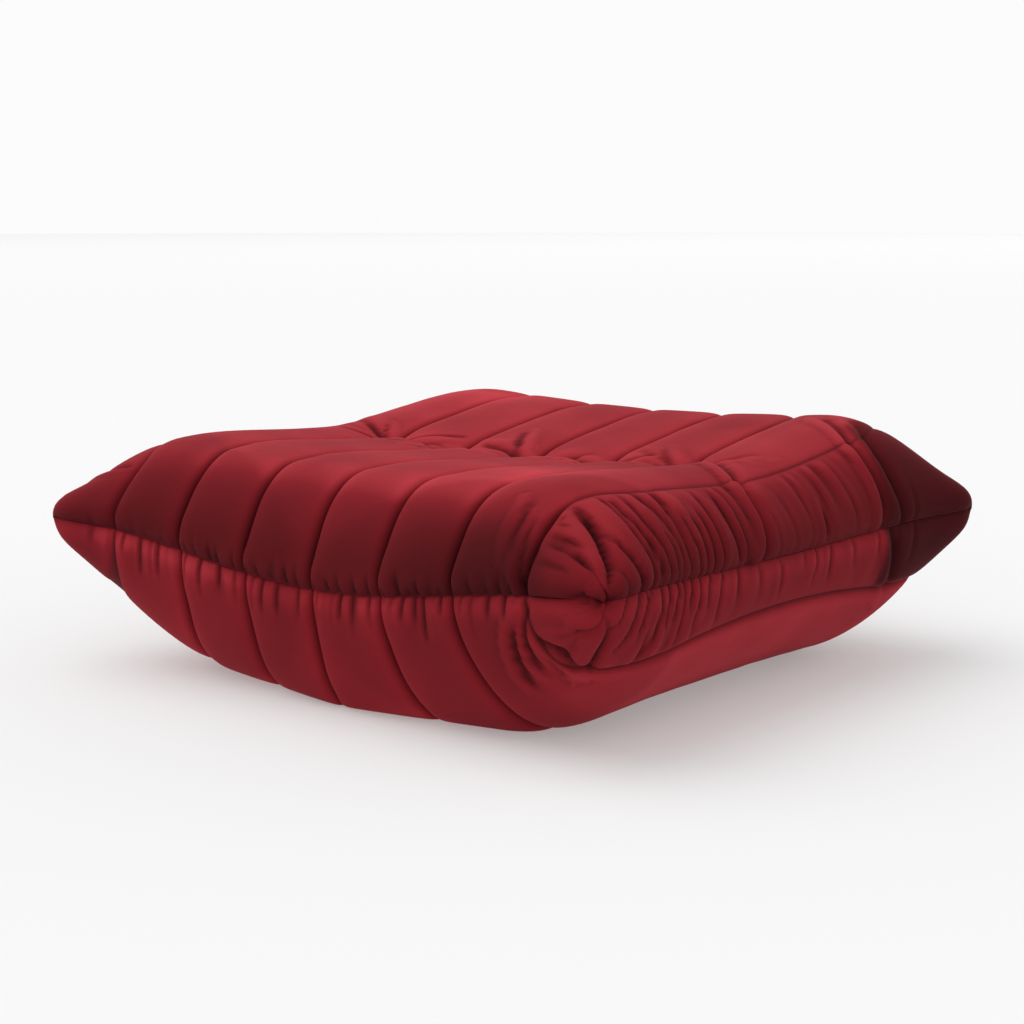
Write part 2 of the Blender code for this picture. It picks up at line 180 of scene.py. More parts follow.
def unit(vectors):
    return vectors / lengths(vectors)[..., None].clip(1e-9)


def run_along(path):
    """Each point's distance along a path."""
    return np.concatenate([[0], np.cumsum(lengths(np.diff(path, axis=0)))])


def blur(values, passes):
    for _ in range(passes):
        padded = np.pad(values, [(1, 1), (1, 1)] + [(0, 0)] * (values.ndim - 2), mode="edge")
        values = (
            padded[1:-1, 1:-1] * 2 + padded[:-2, 1:-1] + padded[2:, 1:-1]
            + padded[1:-1, :-2] + padded[1:-1, 2:]
        ) / 6
    return values


def smooth_along(values, axis, passes):
    for _ in range(passes):
        values = (np.roll(values, 1, axis) + 2 * values + np.roll(values, -1, axis)) / 4
    return values


# ---- the pillow's form


def half_width_at(t):
    return HALF_WIDTH - SIDE_HOLLOW_X * np.cos(np.pi * t / 2).clip(0) ** HOLLOW_POWER


def half_depth_at(s):
    return HALF_DEPTH - SIDE_HOLLOW_Y * np.cos(np.pi * s / 2).clip(0) ** HOLLOW_POWER


def mid_seam_height(s, t):
    front = FRONT_SAG * np.cos(np.pi * s / 2) ** 2 * abs(t) ** 3
    side = SIDE_SAG * np.cos(np.pi * t / 2) ** 2 * abs(s) ** 3
    return EAR_HEIGHT - front - side


def top_height(x, y):
    dish = DISH_DEPTH * np.cos(np.pi / 2 * (abs(y) / DISH_HALF).clip(0, 1)) ** DISH_POWER
    return TOP_LEVEL + TOP_SIDE_RISE * (x / TOP_RISE_AT) ** 2 + TOP_REAR_RISE * y / TOP_RISE_AT - dish


def ear_tip(side_x, side_y):
    return np.array([side_x * HALF_WIDTH, side_y * HALF_DEPTH, EAR_HEIGHT])


def arc_height(distance, radius):
    return np.sqrt(1 - (1 - distance / radius).clip(0, 1) ** 2)


def panel_points(panel, s, t, inset=0.0):
    """Points of a panel at a depth below its crests, and each one's share of the panel's height."""
    wide, deep = half_width_at(t) - inset, half_depth_at(s) - inset
    x, y = s * wide, t * deep
    side_x, side_y, ear, power_x, power_y = ROUND[panel]
    round_x = np.maximum(side_x + (ear - side_x) * abs(t) ** power_x - inset, LEAST_ROUND)
    round_y = np.maximum(side_y + (ear - side_y) * abs(s) ** power_y - inset, LEAST_ROUND)
    share = arc_height(wide - abs(x), round_x) * arc_height(deep - abs(y), round_y)
    seam = mid_seam_height(s, t) + GAP * np.sign(inset) * (1 if panel == "upper" else -1)
    flat = top_height(x, y) - inset if panel == "upper" else inset + 0 * x
    return np.stack([x, y, seam + (flat - seam) * share], -1), share


def seam_place(panel, number, t):
    """X of a quilting seam, number counted from the middle one: the seams fan out from the mid seam."""
    if panel == "upper":
        return number * CHANNEL * (1 + 0.10 * ramp(abs(t), 0.93, -0.35))
    return number * CHANNEL * (1 + 0.21 * (1 - abs(t) ** (12 if number > 0 else 5)))


def tuft_place(number):
    """X of a tuft: each lies on a quilting seam, the middle one on the middle seam."""
    return seam_place("upper", number - len(TUFT_DEPTHS) // 2, np.array(0.0))


def even_rows():
    """Row values t, shared by both panels, at about even steps along their middle lines."""
    t = np.sin(np.linspace(-np.pi / 2, np.pi / 2, 4001))
    length = sum(run_along(panel_points(panel, 0 * t, t)[0]) for panel in ROUND)
    t = np.interp(np.linspace(0, length[-1], PANEL_ROWS), length, t)
    t[0], t[-1] = -1, 1
    return t


def panel_grid(panel):
    """s, t and the channel phase (whole numbers at seams) of each grid point."""
    t = even_rows()[:, None]
    wide = half_width_at(t)
    step = np.arange(CHANNEL_COLUMNS) / CHANNEL_COLUMNS
    step = step + SEAM_CROWDING * ((1 - np.cos(np.pi * step)) / 2 - step)
    side_x, power_x = ROUND[panel][0], ROUND[panel][3]
    spacing = side_x + (EAR_SPACING - side_x) * abs(t) ** power_x
    start = np.arccos((1 - (wide - seam_place(panel, LAST_SEAM, t)) / spacing).clip(-1, 1))
    edge = wide - spacing * (1 - np.cos(start * (1 - step)))
    columns, phases = [], []
    for number in range(-LAST_SEAM, LAST_SEAM):
        low, high = seam_place(panel, number, t), seam_place(panel, number + 1, t)
        columns.append(low + (high - low) * step)
        phases.append(number + step)
    left = -np.concatenate([edge[:, 1:], wide], axis=1)[:, ::-1]
    right = np.concatenate([edge, wide], axis=1)
    x = np.concatenate([left, *columns, right], axis=1)
    edge_phase = np.concatenate([step, [1]])
    phase = np.concatenate([-LAST_SEAM - edge_phase[:0:-1], *phases, LAST_SEAM + edge_phase])
    return x / wide, np.broadcast_to(t, x.shape), np.broadcast_to(phase, x.shape)


def seam_columns(phase):
    """The grid columns that lie on a quilting seam."""
    return np.flatnonzero((abs(phase[0] - np.round(phase[0])) < 1e-6) & (abs(phase[0]) < SEAMS / 2))


def grid_normals(points, panel):
    normal = np.cross(np.gradient(points, axis=1), np.gradient(points, axis=0))
    return unit(-normal if panel == "lower" else normal)


def distance_to_seam(crest, phase):
    """How far each point is, along its row, from the nearest quilting seam."""
    along = np.pad(np.cumsum(lengths(np.diff(crest, axis=1)), axis=1), ((0, 0), (1, 0)))
    return np.min([abs(along - along[:, [column]]) for column in seam_columns(phase)], axis=0)


def side_strip(phase, t):
    """1 on the strips outside the last seams, except at the ears."""
    return ramp(abs(phase), LAST_SEAM - 0.5, 0.4) * ramp(abs(t), 0.93, -0.12)


def quilt(panel, s, t, phase, crest, share):
    """Presses the crest surface in at the quilting seams and shapes the mid seam's crease."""
    away = distance_to_seam(crest, phase)
    crease = CREASE_DEPTH * np.exp(-away / CREASE_REACH)
    crown = CHANNEL_CROWN * (1 - arc_height(away, CHANNEL / 2))
    side = side_strip(phase, t)
    pressed = crease * (1 - side * (1 - TOPSTITCH_DEPTH[panel] / CREASE_DEPTH)) + crown * (1 - side)
    if panel == "upper":
        pressed *= 1 - REAR_SOFTENING * ramp(crest[..., 1], 0.12, 0.14) * ramp(share, 0.55, 0.3)
    else:
        pressed *= 0.25 + 0.75 * ramp(share, 1, -UNDER_SHARE)
        pressed *= 1 - EAR_SOFTENING * ramp(abs(phase), 2.6, 0.3) * ramp(abs(t), 0.78, 0.12)
    in_x = (half_width_at(t) - abs(crest[..., 0])).clip(0)
    in_y = (half_depth_at(s) - abs(crest[..., 1])).clip(0)
    rise = abs(crest[..., 2] - mid_seam_height(s, t)) + np.minimum(in_x, in_y)
    near_mid = np.exp(-rise / MID_REACH)
    bulge = OVERHANG[panel] * (rise / OVERHANG_AT) * np.exp(1 - rise / OVERHANG_AT)
    pressed = pressed * (1 - 0.85 * near_mid) + MID_CREASE * near_mid - bulge
    return crest - blur(grid_normals(crest, panel), 2) * pressed[..., None]


def pull_tufts(points):
    """Lowers the top where five twines pull it down."""
    for number, depth in enumerate(TUFT_DEPTHS):
        away = np.hypot((points[..., 0] - tuft_place(number)) / 0.8, points[..., 1] - TUFT_Y) / TUFT_REACH
        points[..., 2] -= depth * np.exp(-(away ** 1.2))
    inside = ramp(abs(points[..., 0]), 0.36, -0.10)
    points[..., 2] -= VALLEY_DEPTH * inside * np.exp(-(abs(points[..., 1] - TUFT_Y) / VALLEY_REACH) ** 1.3)


def tuck_tips(points):
    """Draws each ear out and pushes its tip in, so that it ends blunt."""
    for (side_x, side_y), (draw, tuck, (way_x, way_y, way_down)) in TIP_TUCK.items():
        away = lengths(points - ear_tip(side_x, side_y))
        push = tuck * bell(away, TIP_REACH) - draw * bell(away, EAR_REACH)
        points -= push[..., None] * np.array([side_x * way_x, side_y * way_y, way_down])


def settled(points, panel):
    """Points moved as the tucked tips and the tufts move everything under the cloth."""
    moved = points.copy()
    tuck_tips(moved)
    if panel == "upper":
        pull_tufts(moved)
    return moved


# ---- creases that the cloth keeps

# The large ones: which panel, depth, width, height of the lip, and points along the crease.
CREASES = (
    ("upper", 0.014, 0.006, 0.007, (0.363, -0.334, 0.261), (0.385, -0.343, 0.247), (0.409, -0.358, 0.226),
     (0.427, -0.379, 0.205)),
    ("lower", 0.008, 0.007, 0.003, (0.431, -0.387, 0.180), (0.417, -0.368, 0.155), (0.399, -0.359, 0.130),
     (0.379, -0.348, 0.106)),
    ("lower", 0.006, 0.005, 0.004, (0.343, -0.384, 0.141), (0.365, -0.378, 0.131), (0.372, -0.364, 0.118),
     (0.379, -0.350, 0.107)),
    ("upper", 0.006, 0.0045, 0.004, (0.383, -0.373, 0.229), (0.405, -0.379, 0.218), (0.421, -0.384, 0.207),
     (0.433, -0.390, 0.197)),
    ("lower", 0.005, 0.0045, 0.004, (0.431, -0.387, 0.181), (0.423, -0.385, 0.170), (0.413, -0.386, 0.163),
     (0.398, -0.388, 0.159)),
    ("upper", 0.006, 0.006, 0.003, (0.295, -0.342, 0.269), (0.298, -0.358, 0.256), (0.299, -0.369, 0.241),
     (0.302, -0.377, 0.227)),
    ("upper", 0.005, 0.005, 0.003, (0.310, -0.356, 0.257), (0.314, -0.375, 0.233), (0.321, -0.386, 0.205),
     (0.327, -0.389, 0.192)),
    ("lower", 0.005, 0.0045, 0.003, (0.329, -0.389, 0.172), (0.323, -0.385, 0.149), (0.325, -0.378, 0.122),
     (0.333, -0.370, 0.108)),
    ("lower", 0.005, 0.0055, 0.003, (0.319, -0.388, 0.170), (0.308, -0.382, 0.135), (0.308, -0.372, 0.108),
     (0.314, -0.361, 0.087)),
    ("upper", 0.013, 0.008, 0.006, (0.285, 0.010, 0.285), (0.331, -0.022, 0.283), (0.360, -0.040, 0.272),
     (0.388, -0.052, 0.247), (0.403, -0.058, 0.219), (0.408, -0.063, 0.198)),
    ("upper", 0.009, 0.008, 0.004, (0.306, 0.246, 0.307), (0.352, 0.218, 0.294), (0.387, 0.205, 0.266),
     (0.408, 0.203, 0.231), (0.414, 0.199, 0.195)),
    ("upper", 0.008, 0.008, 0.002, (0.326, 0.276, 0.306), (0.375, 0.242, 0.282), (0.407, 0.236, 0.240),
     (0.418, 0.244, 0.195)),
    ("lower", 0.007, 0.008, 0.002, (0.416, 0.222, 0.182), (0.414, 0.235, 0.154), (0.394, 0.256, 0.103)),
    ("upper", 0.005, 0.005, 0.002, (0.405, 0.072, 0.222), (0.409, 0.071, 0.195)),
)


def smooth_path(knots, per_span=10):
    """A smooth curve (Catmull-Rom) through the knots."""
    knots = np.array(knots)
    ends = np.concatenate([[2 * knots[0] - knots[1]], knots, [2 * knots[-1] - knots[-2]]])
    path = []
    for one, two, three, four in zip(ends, ends[1:], ends[2:], ends[3:]):
        for u in np.arange(per_span) / per_span:
            bend = 2 * one - 5 * two + 4 * three - four
            twist = 3 * two - one - 3 * three + four
            path.append((2 * two + (three - one) * u + bend * u ** 2 + twist * u ** 3) / 2)
    path.append(knots[-1])
    return np.array(path)


def press_crease(points, normals, crest, path, depth, width, lip):
    """Presses a narrow valley along a path, with a soft lip on one side, fading at the path's ends."""
    flat = points.reshape(-1, 3)
    crest = crest.reshape(-1, 3)
    reach = 4 * width
    near = ((crest > path.min(0) - reach) & (crest < path.max(0) + reach)).all(1)
    offset = crest[near][:, None] - path[None]
    distance = lengths(offset)
    closest = distance.argmin(1)
    normal = normals.reshape(-1, 3)[near]
    aside = unit(np.cross(np.gradient(path, axis=0)[closest], normal))
    signed = (offset[np.arange(len(closest)), closest] * aside).sum(1)
    away = distance.min(1)
    fade = np.sin(np.pi * (0.08 + 0.84 * closest / (len(path) - 1))).clip(0) ** 0.5
    valley = -depth * np.exp(-np.abs(away / width) ** 1.5)
    ridge = lip * bell(signed - 2.2 * width, 1.3 * width) * (away < reach)
    flat[near] += normal * ((valley + ridge) * fade)[:, None]


def press_hollow(points, normals, crest):
    centre, depth, radius = TIP_HOLLOW
    points -= normals * (depth * bell(lengths(crest - np.array(centre)), radius))[..., None]


def tuft_creases():
    """Short creases that run out from each tuft, mostly across the channels."""
    random = np.random.default_rng(5)
    for number, tuft_depth in enumerate(TUFT_DEPTHS):
        for ray in range(TUFT_RAYS):
            angle = np.pi * (ray % 2) + random.normal() * 0.45
            reach = random.uniform(0.045, 0.105)
            bend = random.normal() * 0.25
            run = np.linspace(0.004, reach, 4)
            x = tuft_place(number) + run * np.cos(angle + bend * run / reach)
            y = TUFT_Y + run * np.sin(angle + bend * run / reach)
            yield np.stack([x, y, top_height(x, y)], 1), 0.21 * tuft_depth, random.uniform(0.0048, 0.0085)


def side_creases(panel, crest, random):
    """Creases that run up and down from the mid seam on both side strips, closest at the front."""
    front, rear = -0.345, 0.30
    rows = np.arange(len(crest))
    for rim, step in ((-1, -1), (0, 1)):
        place = front
        while place < rear:
            row = np.interp(place, crest[:, rim, 1], rows)
            near_tip = np.exp((place - front) / -0.09)
            climb = random.uniform(9, 20) * (1 if panel == "upper" else 0.8)
            run = np.linspace(0.5, climb, 6)
            lean = -near_tip * random.uniform(4, 8) * (run / climb) ** 1.5
            lean += random.normal() * 1.2 * run / climb
            columns = (rim + step * np.round(run)).astype(int)
            path = crest[np.clip(np.round(row + lean).astype(int), 1, len(crest) - 2), columns]
            strong = np.interp(place, (-0.22, -0.08), (1, 0.25))
            yield path, random.uniform(0.0020, 0.0050) * strong, random.uniform(0.0028, 0.0048)
            place += random.uniform(0.010, 0.024) * np.interp(place, (-0.22, -0.05), (1, 2.4))


def seam_creases(panel, crest, random):
    """Short creases across the mid seam at the front and the back."""
    left, right = -0.36, 0.33
    for rim, step in ((0, 1), (-1, -1)):
        place = left
        while place < right:
            column = int(np.abs(crest[rim, :, 0] - place).argmin())
            climb = random.uniform(5, 12) * (1.0 if panel == "lower" else 0.7)
            rows = (rim + step * np.round(np.linspace(0.5, climb, 4))).astype(int)
            yield crest[rows, column], random.uniform(0.0004, 0.0018), random.uniform(0.0020, 0.0034)
            place += random.uniform(0.008, 0.030)


def build_panel(panel):
    s, t, phase = panel_grid(panel)
    crest, share = panel_points(panel, s, t)
    points = quilt(panel, s, t, phase, crest, share)
    normals = blur(grid_normals(points, panel), 2)
    for where, depth, width, lip, *knots in CREASES:
        if where == panel:
            press_crease(points, normals, crest, smooth_path(knots), depth, width, lip)
    press_hollow(points, normals, crest)
    random = np.random.default_rng(21 if panel == "upper" else 22)
    for source in (side_creases, seam_creases):
        for knots, depth, width in source(panel, crest, random):
            press_crease(points, normals, crest, smooth_path(knots, 5), depth, width, depth / 3)
    tuck_tips(points)
    if panel == "upper":
        for knots, depth, width in tuft_creases():
            press_crease(points, normals, crest, smooth_path(knots), depth, width, depth / 3)
        pull_tufts(points)
    else:
        points[..., 2] = np.maximum(points[..., 2], FLOOR_CLEARANCE)
    return {"s": s, "t": t, "phase": phase, "share": share, "crest": crest, "points": points}


def join_rims(upper, lower):
    """Both panels meet in the same points along the mid seam, which runs smoothly through each tip."""
    for rim in (np.s_[0], np.s_[-1], np.s_[:, 0], np.s_[:, -1]):
        middle = (upper["points"][rim] + lower["points"][rim]) / 2
        upper["points"][rim] = middle
        lower["points"][rim] = middle
    for row, next_row in ((0, 1), (-1, -2)):
        for column, next_column in ((0, 1), (-1, -2)):
            tip = (upper["points"][next_row, column] + upper["points"][row, next_column]) / 2
            for form in (upper, lower):
                form["points"][row, column] = tip


# ---- cloth


def pull_together(points, first, second, length, free, firmness):
    """Moves two sets of points towards their cloth length, in place."""
    span = points[second] - points[first]
    distance = np.sqrt((span * span).sum(2, keepdims=True)).clip(1e-9)
    total = (free[first] + free[second]).clip(1e-9)
    change = span * ((distance - length) / (distance * total) * firmness)
    points[first] += change * free[first]
    points[second] -= change * free[second]


def cloth_links(start, grow_along, grow_across):
    """The cloth's threads and diagonals: two slices, their cloth lengths and their firmness."""
    whole = slice(None)
    rows, columns = start.shape[:2]
    along = (lengths(start[1:] - start[:-1]) * (1 + grow_along[:-1]))[..., None]
    across = (lengths(start[:, 1:] - start[:, :-1]) * (1 + grow_across[:, :-1]))[..., None]
    links = []
    for parity in (0, 1):
        first, second = slice(parity, rows - 1, 2), slice(parity + 1, rows, 2)
        links.append(((first, whole), (second, whole), along[first], 1.0))
        first, second = slice(parity, columns - 1, 2), slice(parity + 1, columns, 2)
        links.append(((whole, first), (whole, second), across[:, first], 1.0))
    grown = 1 + (grow_along[:-1, :-1] + grow_across[:-1, :-1]) / 2
    for corner, other in ((slice(0, -1), slice(1, None)), (slice(1, None), slice(0, -1))):
        length = (lengths(start[1:, other] - start[:-1, corner]) * grown)[..., None]
        for parity in (0, 1):
            first, second = slice(parity, rows - 1, 2), slice(parity + 1, rows, 2)
            links.append(((first, corner), (second, other), length[first], DIAGONAL_FIRMNESS))
    return links


def relax_cloth(panel, start, moved, pinned, growth, steps):
    """Lets a cloth panel settle: threads keep their length, wadding pushes it out and holds it."""
    normals = grid_normals(start, panel)
    free = np.where(pinned, 0.0, 1.0)[..., None]
    points = start + moved * free
    links = cloth_links(start, *growth)
    for _ in range(steps):
        points += normals * PRESSURE * free
        for first, second, length, firmness in links:
            pull_together(points, first, second, length, free, firmness)
        moved = points - start
        rough = moved - blur(moved, 1)
        moved -= STIFFNESS * (rough - blur(rough, 1)) + EVENNESS * rough
        out = (moved * normals).sum(2, keepdims=True)
        held = np.clip(out * (1 - WADDING_SPRING), -MOST_GIVE, MOST_GIVE)
        points = start + ((moved - out * normals) * 0.99 + held * normals) * free
        if panel == "lower":
            points[..., 2] = np.maximum(points[..., 2], FLOOR_CLEARANCE)
    return points - start


def gathers(panel, form, chance):
    """Extra cloth along and across, as shares of its length."""
    phase = form["phase"]
    ahead = form["crest"][..., 1] * np.sign(phase)
    strip = ramp(abs(phase), LAST_SEAM, 0.12)
    front_part = ramp(ahead, 0.0, -0.08)
    if panel == "lower":
        front_part *= ramp(ahead, -0.16, -0.08)
    along = strip * STRIP_GATHER[panel] * (0.25 + 0.75 * front_part)
    near_seam = ramp(form["share"], 0.55, -0.55) * (1 - strip)
    across = near_seam * SEAM_GATHER + CHANNEL_GATHER * (1 - strip)
    uneven = (1 + 0.8 * chance).clip(0.1, 2)
    return along * uneven, across * uneven


def ripples(phase, random):
    """Seeded waves for the cloth to start from: upright on the side strips, falling on the channels."""
    strip = ramp(abs(phase), LAST_SEAM, 0.1)
    upright = smooth_along(smooth_along(random.normal(size=phase.shape), 0, 2), 1, 60)
    falling = smooth_along(smooth_along(random.normal(size=phase.shape), 1, 3), 0, 40)
    upright *= strip * STRIP_RIPPLE / upright.std()
    falling *= (1 - strip) * CHANNEL_RIPPLE / falling.std()
    return upright + falling


def settle_panel(panel, form):
    """Solves the cloth on every second row and column first, then on all of them."""
    phase = form["phase"]
    pinned = np.zeros(phase.shape, bool)
    pinned[:, seam_columns(phase)] = True
    pinned[[0, -1]] = True
    pinned[:, [0, -1]] = True
    random = np.random.default_rng(11 if panel == "upper" else 12)
    chance = blur(random.normal(size=phase.shape), 60)
    growth = gathers(panel, form, chance / chance.std())
    moved = grid_normals(form["points"], panel) * ripples(phase, random)[..., None]
    half = np.s_[::2, ::2]
    start = form["points"][half]
    grown = [share[half] for share in growth]
    halved = relax_cloth(panel, start, moved[half], pinned[half], grown, COARSE_STEPS)
    moved = np.zeros_like(form["points"])
    moved[half] = halved
    moved[1::2, ::2] = (halved[1:] + halved[:-1]) / 2
    moved[:, 1::2] = (moved[:, 2::2] + moved[:, :-1:2]) / 2
    return form["points"] + relax_cloth(panel, form["points"], moved, pinned, growth, FINE_STEPS)


def limit_pressing(panel, form, cloth):
    """Keeps the cloth from being pressed in further than the wadding under it gives way."""
    normals = blur(grid_normals(form["crest"], panel), 2)
    inward = -((cloth - settled(form["crest"], panel)) * normals).sum(2, keepdims=True)
    return cloth + normals * (inward - MOST_PRESSED).clip(0)


# ---- the pile's tone: painted light and shade


def hollowness(points, normals, passes):
    """How far a point lies below its surroundings, in metres."""
    return ((blur(points, passes) - points) * normals).sum(2)


def upper_painted_light(x, up, rise, across, in_front):
    """Painted light and shade: lighter on top than on the flanks, painted shade over the mid seam under its
    overhang, and darker at the front's right.
    """
    tone = 0.42 + 0.80 * ramp(up, 0.15, 0.80)
    tone *= 1 - 0.45 * np.exp(-rise / 0.014)
    tone *= 1 - 0.22 * bell(up - 0.62, 0.22)
    front = ramp(up, 0.75, -0.35) * across * in_front
    return tone * (1 - 0.42 * front * ramp(x, 0.06, 0.22))


def lower_painted_light(x, up, rise, across, in_front, phase):
    """Painted light on the lower panel: lighter where it faces down, under the mid seam, at the front's left
    and on the right side.
    """
    tone = 0.66 - 0.14 * up.clip(-1, 0)
    tone *= 1 + 0.30 * bell(rise - 0.012, 0.012)
    tone *= 1 + 0.42 * across * ramp(x, 0.02, -0.30) * in_front
    return tone * (1 + 0.30 * ramp(x, 0.30, 0.05) * ramp(abs(phase), 3.0, -0.05))


def ear_painted_shade(panel, x, y, phase):
    """Painted shade on the ears. On the rear right one, only outside the last seam."""
    ear = ramp(abs(x) * 0.43 + abs(y), 0.374, 0.020)
    start, most = (2.70, 0.66) if panel == "upper" else (2.95, 0.84)
    return 1 - ear * np.where((x > 0) & (y > 0), most * ramp(phase, start, 0.20), 0.14)


def pile_and_painted_shade(panel, form, cloth):
    """How light the pile looks, as painted light and shade: painted shade in creases and at seams, painted
    highlight on ridges, and painted light and shade by panel, flank and ear.
    """
    normals = grid_normals(cloth, panel)
    # Painted shade in creases and hollows, painted highlight on ridges.
    hollow = hollowness(cloth, normals, 3) / 0.0006
    broad = hollowness(cloth, normals, 40) / 0.0040
    tone = 1 - 0.30 * np.clip(hollow, -0.7, 2.2) - 0.14 * np.clip(broad, -1, 1.8)
    phase = form["phase"]
    # Painted shade along the seam grooves.
    seam_painted_shade = np.exp(-distance_to_seam(form["crest"], phase) / 0.0026)
    tone *= 1 - 0.62 * (1 - 0.85 * side_strip(phase, form["t"])) * seam_painted_shade
    x, y, z = np.moveaxis(form["crest"], 2, 0)
    up = blur(grid_normals(form["crest"], panel), 14)[..., 2]
    rise = abs(z - mid_seam_height(form["s"], form["t"]))
    across = ramp(abs(form["s"]), 0.86, -0.10)
    in_front = ramp(y, -0.10, -0.16)
    if panel == "upper":
        tone *= upper_painted_light(x, up, rise, across, in_front)
    else:
        tone *= lower_painted_light(x, up, rise, across, in_front, phase)
    tone *= ear_painted_shade(panel, x, y, phase)
    # Painted light and shade patches.
    for where, at_x, at_y, reach, gain in PAINTED_LIGHT_PATCHES:
        if where == panel:
            tone *= 1 + gain * bell(np.hypot(x - at_x, y - at_y), reach)
    return tone.clip(0.05, 2)


# ---- materials


def set_inputs(node, **values):
    for name, value in values.items():
        node.inputs[name.replace("_", " ")].default_value = value


def new_material(name, colour, roughness, **values):
    made = bpy.data.materials.new(name)
    made.use_nodes = True
    shader = made.node_tree.nodes["Principled BSDF"]
    set_inputs(shader, Base_Color=(*colour, 1), Roughness=roughness, **values)
    return made, made.node_tree, shader


def add_node(tree, kind, vector=None, **values):
    node = tree.nodes.new(kind)
    set_inputs(node, **values)
    if vector is not None:
        tree.links.new(vector, node.inputs["Vector"])
    return node


def math_node(tree, operation, *values):
    node = tree.nodes.new("ShaderNodeMath")
    node.operation = operation
    for socket, value in zip(node.inputs, values):
        if isinstance(value, float):
            socket.default_value = value
        else:
            tree.links.new(value, socket)
    return node.outputs[0]


def colour_ramp(tree, level, first, last, *middle):
    """A colour that follows a level, through stops of position and colour."""
    node = tree.nodes.new("ShaderNodeValToRGB")
    elements = node.color_ramp.elements
    for element, (position, colour) in zip(list(elements), (first, last)):
        element.position = position
        element.color = (*colour, 1)
    for position, colour in middle:
        elements.new(position).color = (*colour, 1)
    tree.links.new(level, node.inputs[0])
    return node.outputs[0]


def add_bump(tree, shader, height, strength, distance):
    bump = add_node(tree, "ShaderNodeBump", Strength=strength, Distance=distance)
    tree.links.new(height, bump.inputs["Height"])
    tree.links.new(bump.outputs["Normal"], shader.inputs["Normal"])


def velvet_material():
    """Short-pile velvet: a deep red varied by painted light and shade in its folds, at its seams and by
    flank, partly the pile's lean, with a fine bump.
    """
    made, tree, shader = new_material(
        "velvet", (0.3, 0.012, 0.02), 0.85, Sheen_Weight=0.15, Sheen_Roughness=0.30,
        Sheen_Tint=(1.0, 0.10, 0.15, 1), Specular_IOR_Level=0.08,
    )
    where = tree.nodes.new("ShaderNodeTexCoord").outputs["Object"]
    cloud = add_node(tree, "ShaderNodeTexNoise", where, Scale=7.0, Detail=4.0)
    clouds = math_node(tree, "MULTIPLY_ADD", cloud.outputs["Fac"], 0.5, 0.75)
    # Painted light and shade, partly the pile's lean, read from the mesh attribute.
    lean = tree.nodes.new("ShaderNodeAttribute")
    lean.attribute_name = "pile_and_painted_shade"
    tone = math_node(tree, "MULTIPLY", lean.outputs["Fac"], clouds)
    level = math_node(tree, "MULTIPLY", tone, 0.5)
    # The ramp runs from painted shade through the middle red to painted light.
    dark, middle, light = (0.012, 0.0008, 0.0012), (0.235, 0.0125, 0.019), (0.58, 0.050, 0.066)
    pile = colour_ramp(tree, level, (0.0, dark), (1.0, light), (0.5, middle))
    tree.links.new(pile, shader.inputs["Base Color"])
    fine = add_node(tree, "ShaderNodeTexNoise", where, Scale=1400.0, Detail=2.0)
    add_bump(tree, shader, fine.outputs["Fac"], 0.25, 0.0005)
    return made


# The other finishes: dark and light colour, clouds' scale, roughness, and the grain's scale, height and kind.
FINISHES = {
    "wadding": ((0.66, 0.65, 0.61), (0.84, 0.83, 0.79), 60, (0.9, 1.0), 400, 0.002, "FIBRES"),
    "fibre": ((0.72, 0.72, 0.70), (0.90, 0.90, 0.88), 90, (0.9, 1.0), 500, 0.003, "FIBRES"),
    "firm_foam": ((0.42, 0.44, 0.47), (0.58, 0.60, 0.63), 25, (0.85, 0.95), 900, 0.0006, "CELLS"),
    "core_foam": ((0.70, 0.61, 0.34), (0.84, 0.76, 0.50), 25, (0.85, 0.95), 800, 0.0006, "CELLS"),
    "soft_foam": ((0.78, 0.74, 0.60), (0.88, 0.85, 0.74), 25, (0.85, 0.95), 700, 0.0006, "CELLS"),
    "bolster_foam": ((0.50, 0.58, 0.68), (0.66, 0.74, 0.82), 25, (0.85, 0.95), 800, 0.0006, "CELLS"),
    "twine": ((0.42, 0.33, 0.20), (0.66, 0.56, 0.40), 300, (0.8, 0.95), 1500, 0.0003, "FIBRES"),
    "thread": ((0.040, 0.002, 0.004), (0.085, 0.005, 0.009), 500, (0.80, 0.95), 2500, 0.0002, "FIBRES"),
    "anchor_plastic": ((0.03, 0.03, 0.03), (0.06, 0.06, 0.06), 120, (0.35, 0.5), 600, 0.0001, "SPECKS"),
    "base_cloth": ((0.012, 0.011, 0.011), (0.035, 0.032, 0.032), 40, (0.85, 0.98), 700, 0.0003, "CELLS"),
    "zip_tape": ((0.020, 0.006, 0.008), (0.048, 0.016, 0.019), 200, (0.75, 0.9), 700, 0.0002, "TWILL"),
    "zip_coil": ((0.020, 0.006, 0.008), (0.045, 0.015, 0.017), 150, (0.28, 0.42), 900, 0.0001, "SPECKS"),
    "zip_metal": ((0.20, 0.19, 0.18), (0.42, 0.41, 0.39), 260, (0.22, 0.42), 1200, 0.00008, "BRUSHED"),
}
SHEENS = {"base_cloth": 0.1, "zip_tape": 0.1}


